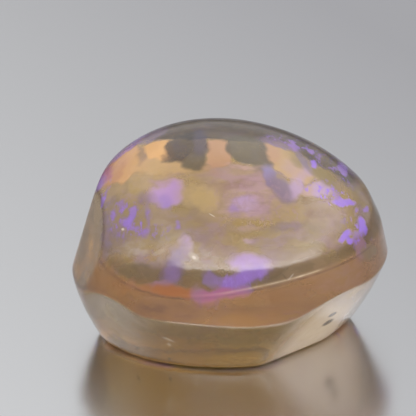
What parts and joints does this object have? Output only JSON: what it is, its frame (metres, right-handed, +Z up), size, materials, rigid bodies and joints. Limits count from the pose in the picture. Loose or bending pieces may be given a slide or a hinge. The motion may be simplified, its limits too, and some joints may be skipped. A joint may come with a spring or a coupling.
{
  "type": "crystal opal cabochon",
  "caption": "Freeform polished crystal opal, a see-through domed stone with a bevelled girdle and a narrower flat base.",
  "frame": {"origin": "middle of the stone's outline at its flat base", "axes": "+X to the stone's right along its length, -Y to its bevelled front, +Z up from the base to the dome"},
  "size_m": [0.012, 0.0106, 0.0079],
  "materials": {
    "opal": "polished, amber body with violet and orange play of colour"
  },
  "bodies": {
    "root": {"opal": "opal"}
  },
  "joints": []
}
